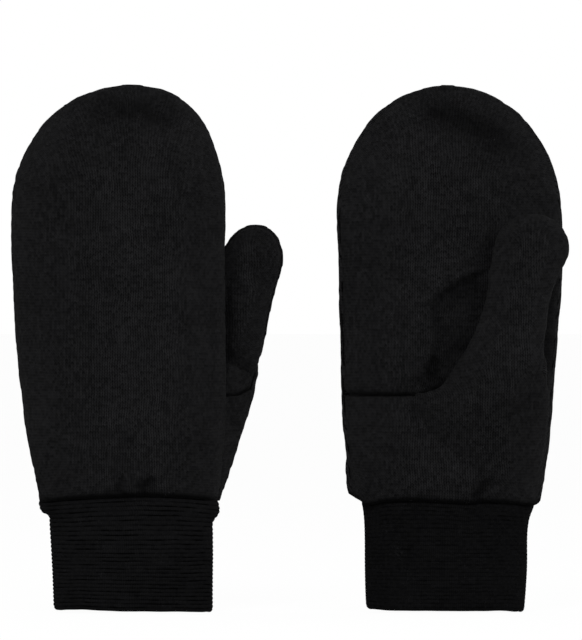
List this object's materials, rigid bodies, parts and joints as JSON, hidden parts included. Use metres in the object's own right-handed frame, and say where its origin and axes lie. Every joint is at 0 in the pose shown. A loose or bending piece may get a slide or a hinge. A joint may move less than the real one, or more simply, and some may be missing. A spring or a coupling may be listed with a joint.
{
  "type": "lined knit mittens",
  "caption": "Pair of plain black lined knit mittens with a doubled rib cuff, a thumb in front of the palm and a finger pocket that curls.",
  "frame": {"origin": "middle of the pair, on the plane of the cuff rims", "axes": "+Z from the cuffs towards the fingertips, +X from the left mitten to the right one, +Y away from the side that shows the left mitten's back and the right mitten's palm"},
  "size_m": [0.269, 0.0732, 0.256],
  "materials": {
    "knit": "fine black wool-blend jersey, matt with a soft nap",
    "rib": "fine black rib, ridges running round the wrist, matt",
    "fleece": "short black brushed fleece, matt",
    "thread": "black overlock thread, slight sheen"
  },
  "bodies": {
    "left_hand": {"left_back_hand": "knit", "left_palm_upper": "knit", "left_palm_lower": "knit", "left_lining_back_hand": "fleece", "left_lining_palm_upper": "fleece", "left_lining_palm_lower": "fleece", "left_cuff": "rib", "left_cuff_seam": "thread"},
    "left_fingertips": {"left_back_fingertips": "knit", "left_palm_fingertips": "knit", "left_lining_back_fingertips": "fleece", "left_lining_palm_fingertips": "fleece"},
    "left_thumb": {"left_thumb_front": "knit", "left_thumb_back": "knit", "left_lining_thumb_front": "fleece", "left_lining_thumb_back": "fleece"},
    "right_hand": {"right_back_hand": "knit", "right_palm_upper": "knit", "right_palm_lower": "knit", "right_lining_back_hand": "fleece", "right_lining_palm_upper": "fleece", "right_lining_palm_lower": "fleece", "right_cuff": "rib", "right_cuff_seam": "thread"},
    "right_fingertips": {"right_back_fingertips": "knit", "right_palm_fingertips": "knit", "right_lining_back_fingertips": "fleece", "right_lining_palm_fingertips": "fleece"},
    "right_thumb": {"right_thumb_front": "knit", "right_thumb_back": "knit", "right_lining_thumb_front": "fleece", "right_lining_thumb_back": "fleece"}
  },
  "joints": [
    {"name": "right_mitten_lift", "type": "slide", "parent": "left_hand", "child": "right_hand", "axis": [0, 0, 1], "range_m": [0, 0.3]},
    {"name": "left_finger_curl", "type": "hinge", "parent": "left_hand", "child": "left_fingertips", "pos_m": [-0.08154, 0.01615, 0.197], "axis": [-1, 0, 0], "range_deg": [0, 80], "stiffness_Nm_per_rad": 0.1},
    {"name": "left_thumb_swing", "type": "hinge", "parent": "left_hand", "child": "left_thumb", "pos_m": [-0.04354, 0.027, 0.096], "axis": [0, 1, 0], "range_deg": [-38, 14], "stiffness_Nm_per_rad": 0.15},
    {"name": "right_finger_curl", "type": "hinge", "parent": "right_hand", "child": "right_fingertips", "pos_m": [0.07766, -0.01615, 0.197], "axis": [1, 0, 0], "range_deg": [0, 80], "stiffness_Nm_per_rad": 0.1},
    {"name": "right_thumb_swing", "type": "hinge", "parent": "right_hand", "child": "right_thumb", "pos_m": [0.10726, -0.027, 0.096], "axis": [0, 1, 0], "range_deg": [-27, 25], "stiffness_Nm_per_rad": 0.15}
  ]
}
